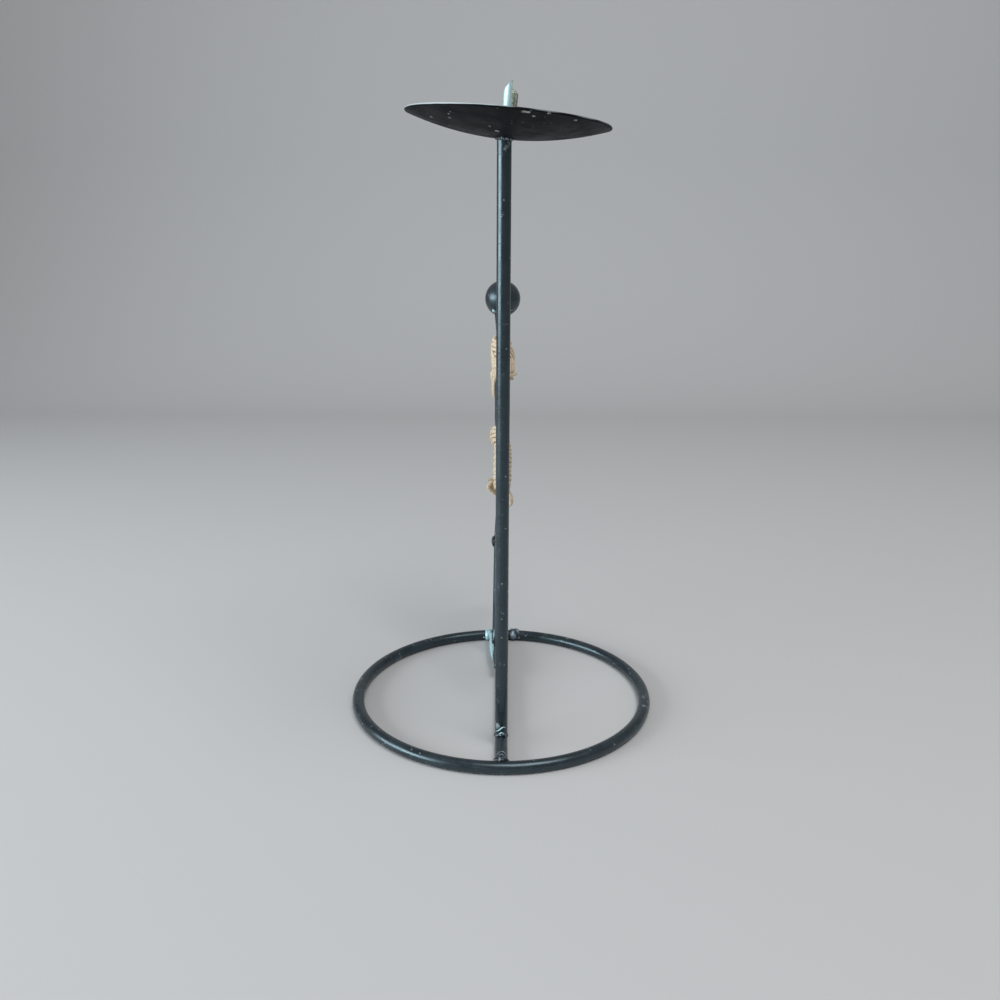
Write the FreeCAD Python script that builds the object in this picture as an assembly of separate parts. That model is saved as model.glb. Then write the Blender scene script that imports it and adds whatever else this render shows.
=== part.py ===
import FreeCAD, Part
import math
import os

# Pricket candle stand: a ring base with a crossbar, an upright that carries a tilted drip pan
# and its pin, and a dancing figure of bent rod wrapped in cord that stands behind the upright.
# Origin at the centre of the base ring on the floor; X to the right, Y to the back, Z up.
# Lengths are millimetres and angles are degrees.

# Base
ring_diameter = 125.0            # centre line of the ring
ring_rod = 5.0
crossbar_rod = 5.0
worn_flat = 0.2                  # paint worn flat where the base rests

# Upright
upright_rod = 5.0
upright_inset = 21.5             # behind the front of the ring's centre line
upright_height = 226.0           # floor to the underside of the pan

# Drip pan, a shallow dish of thin sheet
pan_diameter = 69.5              # over the rim
pan_height = 5.6                 # lowest point to the outside of the rim
pan_sheet = 0.8
pan_edge_round = 0.25
pan_lean_angle = 4.8             # the right side hangs low
pan_nod_angle = 2.4              # the front hangs low
pan_offset = 0.9                 # to the right of the upright's axis

# Pricket pin, cut to a point on one side only
pin_diameter = 5.0
pin_height = 17.2                # tip above the inside of the pan
pin_bevel_height = 3.6
pin_blade_offset = 0.4           # the pointed half reaches this far past the middle
pin_step = 2.7                   # the right half ends this far below the tip
pin_dome = 1.3

# Figure, two rods that run side by side down the back and part at the hips
figure_rod = 3.5
hip_inset = 12.5                 # in front of the back of the ring's centre line
hip_height = 116.0
back_length = 22.5
back_lean_angle = -2.5           # from straight up, positive to the back
shoulder_length = 15.0
shoulder_lean_angle = 34.0
front_thigh_length = 26.5
front_thigh_lean_angle = -48.0   # from straight down, positive to the back
front_shin_length = 28.0
front_shin_lean_angle = -19.0
front_foot_length = 42.0
front_foot_lean_angle = -42.0
front_leg_offset = 0.3           # to the right of the middle plane
rear_thigh_length = 27.0
rear_thigh_lean_angle = 1.0
rear_knee_length = 31.5
rear_knee_lean_angle = 1.5
rear_shin_length = 45.5
rear_shin_lean_angle = 53.0
rear_foot_length = 12.0
rear_foot_lean_angle = 22.0
rear_knee_offset = -1.9
rear_foot_offset = -0.8
limb_bend = 9.0                  # centre-line radius of the bends in the figure's rods

# Head and the two neck wires
head_diameter = 17.0
neck_length = 30.0               # shoulders to the middle of the head
neck_lean_angle = 53.0
neck_wire = 1.8
neck_spread = 3.3                # half the distance between the wires under the head
neck_end_share = 0.25            # of the head's diameter, from its middle to where they aim

# Strut that holds the figure up, with a foot along the crossbar
strut_rod = 3.5
strut_ankle_forward = 5.5        # in front of the hips
strut_ankle_height = 15.5
strut_heel_forward = 11.5
strut_toe_forward = 33.0
strut_bend = 8.0

# Cord bindings
cord = 1.5
cord_pitch = 2.0
cord_clearance = 0.15            # between a binding and the rods inside it
chest_turns = 7
chest_top_gap = 1.0              # first turn below the shoulders
chest_swell = 0.3                # how far the middle of the chest binding stands out
chest_run = 1.2                  # straight part of each side of a turn
hip_turns = 14
hip_lean_angle = 19.5            # the hip binding leans to the front
hip_top_gap = 5.0                # first turn below the hips
tie_cord = 1.3
tie_end = 1.6                    # how far the end of the tie sticks out
brush_root = 4.2                 # radius of the loose cord ends where the tie holds them
brush_tip = 1.7
brush_length = 26.0
brush_lean_angle = 55.0          # from straight down, positive to the back
brush_drop = 4.0                 # middle of the root below the tie
brush_offset = -1.2              # to the right of the middle plane
brush_tip_offset = -0.6
hem_share = 1.0                  # how far down the hip binding the hem lies
flap_width = 3.4                 # loose corner at the left of the hem
flap_height = 7.5
flap_sheet = 1.0
flap_round_share = 0.25          # of the flap's thickness
flap_place_share = 0.5           # across the hem, from the front leg to the rear one
hem_end_width = 2.6              # loose end at the right of the hem
hem_end_length = 9.0
hem_end_out = 0.9                # stands this far outside the middle of the cord
hem_end_place_share = 0.75

# Welds
bead = 1.3                       # how far a bead stands off the rods that it joins
small_bead = 0.7
blob_radius = 3.4
blob_spacing = 6.5
seam_height = 8.0                # bead between the two body rods at the waist
seam_radius = 1.1

gap_limit = 0.4                  # least gap that a binding leaves to itself
overrun = 3.0                    # how far cutting and growing shapes run past

X_AXIS = FreeCAD.Vector(1, 0, 0)
Y_AXIS = FreeCAD.Vector(0, 1, 0)
Z_AXIS = FreeCAD.Vector(0, 0, 1)


def point(x, y, z):
    return FreeCAD.Vector(x, y, z)


def cylinder(start, end, radius):
    axis = end - start
    return Part.makeCylinder(radius, axis.Length, start, axis)


def step_up(start, length, lean):
    """The point at a length from start, leaning back from straight up."""
    turn = math.radians(lean)
    return start + point(0, length * math.sin(turn), length * math.cos(turn))


def step_down(start, length, lean, side):
    """The point at a length below start, leaning back from straight down, on a side plane."""
    turn = math.radians(lean)
    return point(side, start.y + length * math.sin(turn), start.z - length * math.cos(turn))


def rounded_path(points, bend):
    """Straight runs joined by arcs tangent to both, as a rod comes out of a bender."""
    edges = []
    last = points[0]
    for before, corner, after in zip(points, points[1:], points[2:]):
        into = (before - corner).normalize()
        away = (after - corner).normalize()
        half = into.getAngle(away) / 2
        room = min((before - corner).Length, (after - corner).Length) / 2
        setback = min(bend / math.tan(half), room)
        reach = setback / math.cos(half) - setback * math.tan(half)
        start = corner + into * setback
        end = corner + away * setback
        middle = corner + (into + away).normalize() * reach
        edges.append(Part.LineSegment(last, start).toShape())
        edges.append(Part.Arc(start, middle, end).toShape())
        last = end
    edges.append(Part.LineSegment(last, points[-1]).toShape())
    return Part.Wire(edges)


def tube(path, diameter):
    """A round solid swept along a path."""
    first = path.OrderedEdges[0]
    start = first.valueAt(first.FirstParameter)
    heading = first.tangentAt(first.FirstParameter)
    ring = Part.Wire(Part.Circle(start, heading, diameter / 2).toShape())
    return path.makePipeShell([ring], True, False)


def bent_rod(points, diameter, bend):
    """A bent rod whose last end is domed."""
    rod = tube(rounded_path(points, bend), diameter)
    return rod.fuse(Part.makeSphere(diameter / 2, points[-1])).removeSplitter()


def bead_between(first, second, first_grown, second_grown):
    """The weld that fills the corner where two pieces meet, one bead's depth off both."""
    return first_grown.common(second_grown).cut(first).cut(second)


def largest_solid(shape):
    return max(shape.Solids, key=lambda solid: solid.Volume)


# Base
ring_height = ring_rod / 2 - worn_flat
ring_radius = ring_diameter / 2
crossbar_height = crossbar_rod / 2 - worn_flat
upright_forward = ring_radius - upright_inset
floor_block = Part.makeBox(
    ring_diameter * 2, ring_diameter * 2, ring_rod,
    point(-ring_diameter, -ring_diameter, -ring_rod))


def base_torus(grow):
    return Part.makeTorus(ring_radius, ring_rod / 2 + grow, point(0, 0, ring_height))


def crossbar_bar(grow):
    """The crossbar from one centre line of the ring to the other."""
    return cylinder(
        point(0, -ring_radius, crossbar_height), point(0, ring_radius, crossbar_height),
        crossbar_rod / 2 + grow)


def make_base_ring():
    return base_torus(0).cut(floor_block)


def make_crossbar():
    """Both ends are coped to the inside of the ring."""
    return largest_solid(crossbar_bar(0).cut(base_torus(0)).cut(floor_block))


# Upright and pan
pan_radius = pan_diameter / 2
pan_outer_sphere = (pan_radius ** 2 + pan_height ** 2) / (2 * pan_height)
pan_inner_sphere = pan_outer_sphere - pan_sheet
pin_foot = pan_sheet + small_bead
pan_seat = point(pan_offset, -upright_forward, upright_height)
pan_nod = FreeCAD.Rotation(X_AXIS, pan_nod_angle)
pan_lean = FreeCAD.Rotation(Y_AXIS, pan_lean_angle)
pan_place = FreeCAD.Placement(pan_seat, pan_nod.multiply(pan_lean))


def placed_on_upright(shape):
    """Moves a shape from the pan's own frame, with its underside at zero, to the upright's top."""
    shape.Placement = pan_place
    return shape


def pan_ball(radius):
    return Part.makeSphere(radius, point(0, 0, pan_outer_sphere))


def make_drip_pan():
    """A dish of even sheet, with its edge cut square to the sheet."""
    shell = pan_ball(pan_outer_sphere).cut(pan_ball(pan_inner_sphere))
    keep_height = pan_outer_sphere + overrun
    keep_radius = keep_height * pan_radius / (pan_outer_sphere - pan_height)
    keep = Part.makeCone(keep_radius, 0, keep_height, point(0, 0, -overrun))
    dish = largest_solid(shell.common(keep))
    rim_edges = [edge for edge in dish.Edges if edge.BoundBox.ZMin > pan_height / 2]
    return placed_on_upright(dish.makeFillet(pan_edge_round, rim_edges))


def upright_bar(grow):
    """The upright from the crossbar's centre line to past the pan's underside."""
    return cylinder(
        point(0, -upright_forward, crossbar_height),
        point(0, -upright_forward, upright_height + overrun),
        upright_rod / 2 + grow)


def make_upright():
    """The foot is coped to the crossbar and the top to the underside of the pan."""
    above = placed_on_upright(pan_ball(pan_outer_sphere))
    return largest_solid(upright_bar(0).cut(crossbar_bar(0)).cut(above))


def make_pricket_pin():
    """A pin whose left part rises to a point and whose right part ends in a low dome."""
    radius = pin_diameter / 2
    reach = radius + overrun
    top = pan_sheet + pin_height
    step_floor = top - pin_step
    shaft = Part.makeCylinder(radius, top - pin_foot, point(0, 0, pin_foot))
    step = Part.makeBox(reach, reach * 2, reach, point(pin_blade_offset, -reach, step_floor))
    bevel_face = Part.makePolygon([
        point(0, -reach, top),
        point(-radius, -reach, top - pin_bevel_height),
        point(-reach, -reach, top - pin_bevel_height),
        point(-reach, -reach, top + overrun),
        point(0, -reach, top + overrun),
        point(0, -reach, top)])
    bevel = Part.Face(bevel_face).extrude(Y_AXIS * (reach * 2))
    dome_foot = point(0, 0, step_floor - pin_dome)
    chips = Part.makeCylinder(radius, pin_dome, dome_foot).cut(
        Part.makeCone(radius, radius - pin_dome, pin_dome, dome_foot))
    right_part = Part.makeBox(reach, reach * 2, top, point(pin_blade_offset, -reach, 0))
    body = shaft.cut(step).cut(bevel).cut(chips.common(right_part))
    return placed_on_upright(largest_solid(body))


def make_pan_weld(upright, pan):
    below_pan = placed_on_upright(pan_ball(pan_outer_sphere + bead))
    return largest_solid(bead_between(upright, pan, upright_bar(bead), below_pan).cut(
        placed_on_upright(pan_ball(pan_outer_sphere))))


def make_pin_weld():
    """A low mound on the inside of the pan, with the pin standing on top."""
    radius = pin_diameter / 2
    mound = Part.makeCone(radius + bead, radius, pin_foot)
    return placed_on_upright(largest_solid(mound.common(pan_ball(pan_inner_sphere))))


# Figure
hip = point(0, ring_radius - hip_inset, hip_height)
chest = step_up(hip, back_length, back_lean_angle)
shoulders = step_up(chest, shoulder_length, shoulder_lean_angle)
head_centre = step_up(shoulders, neck_length, neck_lean_angle)
beside = X_AXIS * (figure_rod / 2)

front_knee = step_down(hip, front_thigh_length, front_thigh_lean_angle, front_leg_offset)
front_ankle = step_down(front_knee, front_shin_length, front_shin_lean_angle, front_leg_offset)
front_toe = step_down(front_ankle, front_foot_length, front_foot_lean_angle, front_leg_offset)

rear_thigh = step_down(hip, rear_thigh_length, rear_thigh_lean_angle, 0)
rear_knee = step_down(rear_thigh, rear_knee_length, rear_knee_lean_angle, rear_knee_offset)
rear_ankle = step_down(rear_knee, rear_shin_length, rear_shin_lean_angle, rear_foot_offset)
rear_toe = step_down(rear_ankle, rear_foot_length, rear_foot_lean_angle, rear_foot_offset)


def front_leg_rod(diameter):
    """The right-hand rod: shoulders, back, and the leg that kicks forward."""
    route = [shoulders + beside, chest + beside, hip + beside, front_knee, front_ankle, front_toe]
    return bent_rod(route, diameter, limb_bend)


def rear_leg_rod(diameter):
    """The left-hand rod: shoulders, back, and the leg that bends behind."""
    route = [shoulders - beside, chest - beside, hip - beside, rear_thigh, rear_knee,
             rear_ankle, rear_toe]
    return bent_rod(route, diameter, limb_bend)


def strut_bar(diameter):
    """The foot lies in the corner between the crossbar's left side and its top."""
    reach = (crossbar_rod + strut_rod) / 2
    foot_side = rear_knee_offset * 2
    foot_height = crossbar_height + math.sqrt(reach ** 2 - foot_side ** 2)
    route = [
        rear_knee,
        point(foot_side, hip.y - strut_ankle_forward, strut_ankle_height),
        point(foot_side, hip.y - strut_heel_forward, foot_height),
        point(foot_side, hip.y - strut_toe_forward, foot_height)]
    return bent_rod(route, diameter, strut_bend)


def neck_bar(side, diameter):
    """A wire from the top of one body rod to the underside of the head."""
    foot = shoulders + beside * side
    toward = (head_centre - shoulders).normalize()
    under = head_centre - toward * (head_diameter * neck_end_share)
    return cylinder(foot, under + X_AXIS * (side * neck_spread), diameter / 2)


def head_ball(grow):
    return Part.makeSphere(head_diameter / 2 + grow, head_centre)


# Bindings
def half_turn(start, end, outward):
    """A half circle whose ends are square to the line between them."""
    middle = (start + end) / 2 + outward * ((end - start).Length / 2)
    return Part.Arc(start, middle, end).toShape()


def binding_path(turns, width_at, front_at, back_at):
    """One unbroken cord: level runs to the back and front, with a half turn after each.

    width_at, front_at and back_at give the centre line's half width and its two ends at a
    share of the way down, in a frame whose Z runs up the binding.
    """
    edges = []
    halves = turns * 2
    drop = cord_pitch / 2
    for count in range(halves):
        share = count / halves
        next_share = (count + 1) / halves
        heading = 1 if count % 2 == 0 else -1
        far_at = back_at if heading > 0 else front_at
        near_at = front_at if heading > 0 else back_at
        level = -count * drop
        start = point(-heading * width_at(share), near_at(share), level)
        turn_start = point(-heading * width_at(share), far_at(next_share), level)
        turn_end = point(heading * width_at(next_share), far_at(next_share), level - drop)
        edges.append(Part.LineSegment(start, turn_start).toShape())
        edges.append(half_turn(turn_start, turn_end, Y_AXIS * heading))
    return Part.Wire(edges)


def least_gap(path, half_turn_length):
    """Least distance between the cord's surfaces on different turns, measured on points."""
    samples = path.discretize(Distance=cord / 2)
    spacing = path.Length / (len(samples) - 1)
    skip = int(half_turn_length / spacing)
    nearest = min(
        (samples[i] - samples[j]).Length
        for i in range(len(samples))
        for j in range(i + skip, len(samples)))
    return nearest - cord


def report_binding(name, path, tightest):
    gap = least_gap(path, math.pi * tightest)
    print(f"{name}: length {path.Length:.1f}, tightest half turn {tightest:.2f}, least gap {gap:.2f}")
    if gap < gap_limit:
        print(f"{name}: the gap is under {gap_limit}")


def between(start, end, share):
    return start + (end - start) * share


# The chest binding is level and follows the line of the back
binding_reach = figure_rod + cord / 2 + cord_clearance
chest_top = shoulders.z - chest_top_gap
chest_depth = chest_turns * cord_pitch
chest_bottom = chest_top - chest_depth


def back_at_height(height):
    """How far back the line of the back lies at a height."""
    lower, upper = (chest, shoulders) if height > chest.z else (hip, chest)
    return between(lower, upper, (height - lower.z) / (upper.z - lower.z)).y


def chest_width_at(share):
    return binding_reach + chest_swell * math.sin(math.pi * share)


def chest_front_at(share):
    return back_at_height(chest_top - chest_depth * share) - chest_run / 2


def chest_back_at(share):
    return back_at_height(chest_top - chest_depth * share) + chest_run / 2


def chest_cord_path():
    path = binding_path(chest_turns, chest_width_at, chest_front_at, chest_back_at)
    path.translate(Z_AXIS * chest_top)
    return path


def make_chest_cord():
    path = chest_cord_path()
    report_binding("chest_cord", path, binding_reach)
    return tube(path, cord)


def make_chest_tie():
    """One turn of thin cord just under the chest binding, with its end sticking out."""
    drop = tie_cord + cord_clearance
    level = chest_bottom - (cord + tie_cord) / 2 - cord_clearance
    middle = back_at_height(level)
    side = figure_rod + tie_cord / 2 + cord_clearance
    right = point(side, middle, level)
    left = point(-side, middle, level - drop / 2)
    back_to_right = point(side, middle, level - drop)
    end = back_to_right + point(tie_end, -tie_end, 0)
    bow = tie_end * (1 - math.cos(math.pi / 4))
    elbow = back_to_right + point(bow, bow - tie_end, 0)
    return tube(Part.Wire([
        half_turn(right, left, -Y_AXIS),
        half_turn(left, back_to_right, Y_AXIS),
        Part.Arc(back_to_right, elbow, end).toShape()]), tie_cord)


def make_chest_brush():
    """Loose ends of the chest cord, which flare out under the tie and sweep to the back."""
    height = chest_bottom - brush_drop
    root_back = back_at_height(height) + figure_rod / 2 + brush_root + cord_clearance
    root = point(brush_offset, root_back, height)
    tip = step_down(root, brush_length, brush_lean_angle, brush_tip_offset)
    axis = (tip - root).normalize()
    start = root - axis * brush_root
    brush = Part.makeCone(
        brush_root, brush_tip, brush_length + brush_root, start, axis)
    ceiling = chest_bottom - cord / 2 - (tie_cord + cord_clearance) * 2 - cord_clearance
    slab = Part.makeBox(
        brush_length, brush_length * 2, brush_length,
        point(-brush_length / 2, back_at_height(ceiling) - brush_length, ceiling))
    rods = Part.makeBox(
        brush_length, brush_length, brush_length * 2,
        point(-brush_length / 2,
              back_at_height(ceiling) + figure_rod / 2 + cord_clearance - brush_length,
              height - brush_length))
    return largest_solid(brush.cut(slab).cut(rods))


# The hip binding is square to its own leaning axis and follows both legs as they part
hip_frame = FreeCAD.Placement(hip, FreeCAD.Rotation(X_AXIS, -hip_lean_angle))
hip_depth = hip_turns * cord_pitch
hem_reach = figure_rod / 2 + cord / 2 + cord_clearance * 2


def leg_at(route, share):
    """How far back a leg lies in the hip frame at a share of the binding's depth."""
    level = -(hip_top_gap + hip_depth * share)
    places = [hip_frame.inverse().multVec(place) for place in route]
    upper, lower = next(
        run for run in zip(places, places[1:]) if run[1].z <= level or run[1] == places[-1])
    return between(upper, lower, (level - upper.z) / (lower.z - upper.z)).y


def hip_width_at(share):
    return binding_reach + (hem_reach - binding_reach) * share


def hip_front_at(share):
    return leg_at([hip, front_knee, front_ankle], share)


def hip_back_at(share):
    return leg_at([hip, rear_thigh, rear_knee], share)


def hip_cord_path():
    path = binding_path(hip_turns, hip_width_at, hip_front_at, hip_back_at)
    path.translate(Z_AXIS * -hip_top_gap)
    path.Placement = hip_frame.multiply(path.Placement)
    return path


def make_hip_cord():
    path = hip_cord_path()
    report_binding("hip_cord", path, hem_reach)
    return tube(path, cord)


def hem_point(side, share, drop):
    """A place under the hem, at a share of the way from the front leg to the rear one."""
    front, back = hip_front_at(hem_share), hip_back_at(hem_share)
    last_run = hip_depth - (cord_pitch if side < 0 else cord_pitch / 2)
    level = -(hip_top_gap + last_run + cord / 2 + cord_clearance + drop)
    return hip_frame.multVec(point(side, front + (back - front) * share, level))


def make_hem_flap():
    """A cut corner of flat cord that juts out at the left of the hem."""
    inner = -(hem_reach - cord / 2)
    outer = -(hem_reach + cord / 2 + flap_width)
    top = hem_point(inner, flap_place_share, 0)
    corners = [
        top,
        top + point(outer - inner, 0, -flap_height / 2),
        top + point(0, 0, -flap_height),
        top]
    flap = Part.Face(Part.makePolygon(corners)).extrude(Y_AXIS * flap_sheet)
    return flap.makeFillet(flap_sheet * flap_round_share, flap.Edges)


def make_hem_end():
    """A loose end that hangs at the right of the hem."""
    middle = hem_point(hem_reach + hem_end_out, hem_end_place_share, hem_end_length / 2)
    matrix = FreeCAD.Matrix()
    matrix.scale(hem_end_width / 2, hem_end_width / 2, hem_end_length / 2)
    leaf = Part.makeSphere(1).transformGeometry(matrix)
    leaf.translate(middle)
    return leaf


# Welds of the base and the figure
def make_ring_weld(side):
    """The bead where the crossbar meets the ring, at the front or the back."""
    beads = bead_between(
        base_torus(0), crossbar_bar(0), base_torus(bead), crossbar_bar(bead)).cut(floor_block)
    return max(beads.Solids, key=lambda solid: solid.CenterOfMass.y * side)


def make_ring_blobs():
    """Heaped weld metal on the ring, either side of the crossbar's rear end."""
    back = math.sqrt(ring_radius ** 2 - blob_spacing ** 2)
    blobs = []
    for across in (-blob_spacing, blob_spacing):
        ball = Part.makeSphere(blob_radius, point(across, back, ring_height))
        blob = ball.cut(base_torus(0)).cut(crossbar_bar(bead)).cut(floor_block)
        blobs.extend(blob.Solids)
    return Part.makeCompound(blobs)


def make_foot_weld():
    grown = cylinder(
        point(0, -upright_forward, crossbar_height),
        point(0, -upright_forward, crossbar_height + crossbar_rod),
        upright_rod / 2 + bead)
    return largest_solid(
        bead_between(upright_bar(0), crossbar_bar(0), grown, crossbar_bar(bead)).cut(floor_block))


def make_back_weld(front_leg, rear_leg):
    """A bead in the front groove between the two body rods, where they show at the waist."""
    groove = Y_AXIS * -(seam_radius + cord_clearance)
    low = hip + groove
    high = step_up(hip, seam_height, back_lean_angle) + groove
    return largest_solid(cylinder(low, high, seam_radius).cut(front_leg).cut(rear_leg))


def make_strut_knee_weld(rear_leg, strut):
    grown_strut = strut_bar(strut_rod + small_bead * 2)
    grown_leg = rear_leg_rod(figure_rod + small_bead * 2)
    return largest_solid(bead_between(rear_leg, strut, grown_leg, grown_strut))


def make_strut_foot_weld(strut):
    grown = strut_bar(strut_rod + bead * 2)
    return largest_solid(
        bead_between(strut, crossbar_bar(0), grown, crossbar_bar(bead)).cut(floor_block))


def make_neck_wire(side, body_rod):
    wire = neck_bar(side, neck_wire)
    return largest_solid(wire.cut(head_ball(0)).cut(body_rod))


def make_head_welds(wires):
    grown_head = head_ball(small_bead)
    beads = [
        grown_head.common(neck_bar(side, neck_wire + small_bead * 2)).cut(head_ball(0)).cut(wire)
        for side, wire in zip((-1, 1), wires)]
    return Part.makeCompound([largest_solid(shape) for shape in beads])


def main():
    os.makedirs("parts", exist_ok=True)
    upright = make_upright()
    pan = make_drip_pan()
    pin = make_pricket_pin()
    front_leg = front_leg_rod(figure_rod)
    rear_leg = rear_leg_rod(figure_rod)
    strut = largest_solid(strut_bar(strut_rod).cut(rear_leg).cut(crossbar_bar(0)))
    wires = [make_neck_wire(-1, rear_leg), make_neck_wire(1, front_leg)]
    pieces = {
        "base_ring": make_base_ring(),
        "base_crossbar": make_crossbar(),
        "ring_weld_front": make_ring_weld(-1),
        "ring_weld_rear": make_ring_weld(1),
        "ring_weld_blobs": make_ring_blobs(),
        "upright": upright,
        "upright_foot_weld": make_foot_weld(),
        "drip_pan": pan,
        "pan_weld": make_pan_weld(upright, pan),
        "pricket_pin": pin,
        "pin_weld": make_pin_weld(),
        "front_leg_rod": front_leg,
        "rear_leg_rod": rear_leg,
        "back_weld": make_back_weld(front_leg, rear_leg),
        "support_strut": strut,
        "strut_knee_weld": make_strut_knee_weld(rear_leg, strut),
        "strut_foot_weld": make_strut_foot_weld(strut),
        "neck_wire_left": wires[0],
        "neck_wire_right": wires[1],
        "head_ball": head_ball(0),
        "head_welds": make_head_welds(wires),
        "chest_cord": make_chest_cord(),
        "chest_tie": make_chest_tie(),
        "chest_brush": make_chest_brush(),
        "hip_cord": make_hip_cord(),
        "hem_flap": make_hem_flap(),
        "hem_end": make_hem_end(),
    }
    for name, shape in pieces.items():
        box = shape.BoundBox
        print(
            f"{name}: solids {len(shape.Solids)}, volume {shape.Volume:.1f}, valid {shape.isValid()}, "
            f"x {box.XMin:.1f} {box.XMax:.1f}, y {box.YMin:.1f} {box.YMax:.1f}, "
            f"z {box.ZMin:.1f} {box.ZMax:.1f}")
        shape.exportStep(f"parts/{name}.step")


main()
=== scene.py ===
import bpy
import math
import numpy as np
from mathutils import Matrix, Vector


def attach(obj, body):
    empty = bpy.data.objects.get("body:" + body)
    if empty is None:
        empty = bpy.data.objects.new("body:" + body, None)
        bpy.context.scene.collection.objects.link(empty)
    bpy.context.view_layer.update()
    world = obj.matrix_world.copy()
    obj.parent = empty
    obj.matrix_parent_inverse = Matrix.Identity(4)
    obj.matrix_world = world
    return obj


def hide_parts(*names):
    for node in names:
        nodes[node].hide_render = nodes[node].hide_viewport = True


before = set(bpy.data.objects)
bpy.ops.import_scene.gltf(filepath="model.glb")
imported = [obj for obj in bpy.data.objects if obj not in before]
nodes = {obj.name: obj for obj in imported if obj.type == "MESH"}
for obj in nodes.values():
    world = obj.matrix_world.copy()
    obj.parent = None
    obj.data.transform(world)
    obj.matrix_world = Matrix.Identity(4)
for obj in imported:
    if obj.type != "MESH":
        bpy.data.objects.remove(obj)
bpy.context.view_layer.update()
mm = 0.001
scene = bpy.context.scene


# Mesh helpers. Shapes are worked out in millimetres as whole arrays.

def unit(vectors):
    # each vector divided by its own length
    return vectors / np.maximum(np.linalg.norm(vectors, axis=-1, keepdims=True), 1e-9)


def turnAngles(count):
    # evenly spaced angles round one full turn
    return np.linspace(0, 2 * np.pi, count, endpoint=False)


def waves(points, size, seed, count=9):
    # the mean of sine waves with random headings, phases and lengths near one size
    rng = np.random.default_rng(seed)
    headings = unit(rng.normal(size=(count, 3)))
    rates = 2 * np.pi / size * rng.uniform(0.55, 1.7, count)
    phases = rng.uniform(0, 2 * np.pi, count)
    return np.sin(points @ headings.T * rates + phases).mean(axis=-1) * 1.6


def gridFaces(rows, cols, first, closedLong):
    # quads between neighbouring rows, with the last column joined to the first
    lastRow = rows if closedLong else rows - 1
    r, c = np.meshgrid(np.arange(lastRow), np.arange(cols), indexing="ij")
    r2, c2 = (r + 1) % rows, (c + 1) % cols
    quads = np.stack([r * cols + c, r * cols + c2, r2 * cols + c2, r2 * cols + c], axis=-1)
    return quads.reshape(-1, 4) + first


def fanFaces(ring, pole, flip):
    # triangles from a ring of points to one pole
    after = np.roll(ring, -1)
    fan = np.stack([after, ring, np.full_like(ring, pole)], axis=-1)
    return fan[:, ::-1] if flip else fan


def pointRows(grid, closedLong):
    # a row of values for each point, and for an open tube also the means of its two ends
    flat = grid.reshape(-1, grid.shape[-1])
    return flat if closedLong else np.concatenate([flat, grid[:1].mean(axis=1), grid[-1:].mean(axis=1)])


def buildPiece(name, surfaces, material, replaced=(), closedLong=False, marks=None):
    # one mesh from several tubes: each surface is an array of rows, columns and x, y, z,
    # and marks holds values for its points, such as the way that fibres run
    points, quads, fans, values = [], [], [], {key: [] for key in (marks or {})}
    first = 0
    for index, surface in enumerate(surfaces):
        rows, cols = surface.shape[:2]
        points.append(pointRows(surface, closedLong))
        quads.append(gridFaces(rows, cols, first, closedLong))
        for key in values:
            values[key].append(pointRows(marks[key][index].reshape(rows, cols, -1), closedLong))
        if not closedLong:
            ring, pole = first + np.arange(cols), first + rows * cols
            fans.append(fanFaces(ring, pole, False))
            fans.append(fanFaces(ring + (rows - 1) * cols, pole + 1, True))
        first += len(points[-1])
    points, quads = np.concatenate(points) * mm, np.concatenate(quads)
    fans = np.concatenate(fans) if fans else np.zeros((0, 3), int)
    mesh = bpy.data.meshes.new(name)
    mesh.vertices.add(len(points))
    mesh.vertices.foreach_set("co", points.astype(np.float32).ravel())
    mesh.loops.add(quads.size + fans.size)
    mesh.loops.foreach_set("vertex_index", np.concatenate([quads.ravel(), fans.ravel()]))
    mesh.polygons.add(len(quads) + len(fans))
    starts = np.concatenate([np.arange(len(quads)) * 4, quads.size + np.arange(len(fans)) * 3])
    mesh.polygons.foreach_set("loop_start", starts)
    mesh.polygons.foreach_set("use_smooth", np.ones(len(starts), bool))
    mesh.update(calc_edges=True)
    for key, parts in values.items():
        joined = np.concatenate(parts).astype(np.float32)
        kind = "FLOAT" if joined.shape[1] == 1 else "FLOAT_VECTOR"
        layer = mesh.attributes.new(key, kind, "POINT")
        layer.data.foreach_set("value" if kind == "FLOAT" else "vector", joined.ravel())
    mesh.validate()
    mesh.materials.append(material)
    piece = bpy.data.objects.new(name, mesh)
    scene.collection.objects.link(piece)
    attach(piece, "root")
    if replaced:
        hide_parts(*replaced)
    print(name, len(quads) * 2 + len(fans), "triangles")
    return piece


def throughPoints(stops, count):
    # a smooth curve through the stops: cubic pieces whose slopes come from the neighbours
    stops = np.asarray(stops, float)
    padded = np.concatenate([2 * stops[:1] - stops[1:2], stops, 2 * stops[-1:] - stops[-2:-1]])
    place = np.linspace(0, len(stops) - 1, count)
    index = np.minimum(place.astype(int), len(stops) - 2)
    t = (place - index)[:, None]
    a, b, c, d = (padded[index + k] for k in range(4))
    return 0.5 * (2 * b + (c - a) * t + (2 * a - 5 * b + 4 * c - d) * t ** 2
                  + (3 * b - a - 3 * c + d) * t ** 3)


def widthsAlong(count, shares, widths):
    # a width for each row, from the widths at some shares of the length
    return np.interp(np.linspace(0, 1, count), shares, widths)


def tubeSurface(path, ahead, outward, angle, reach, flat=1.0):
    # a ring of points at each place on the path, in the plane across the way ahead
    tangent = unit(ahead)
    across = unit(np.cross(tangent, outward))
    out = np.cross(across, tangent)
    return (path[:, None] + across[:, None] * (np.cos(angle) * reach)[..., None]
            + out[:, None] * (np.sin(angle) * reach * flat)[..., None])


# how the cord's texture lies on a tube: its scale along the strand and round it
fibreScale = dict(along=0.35, round=2.2)


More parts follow.
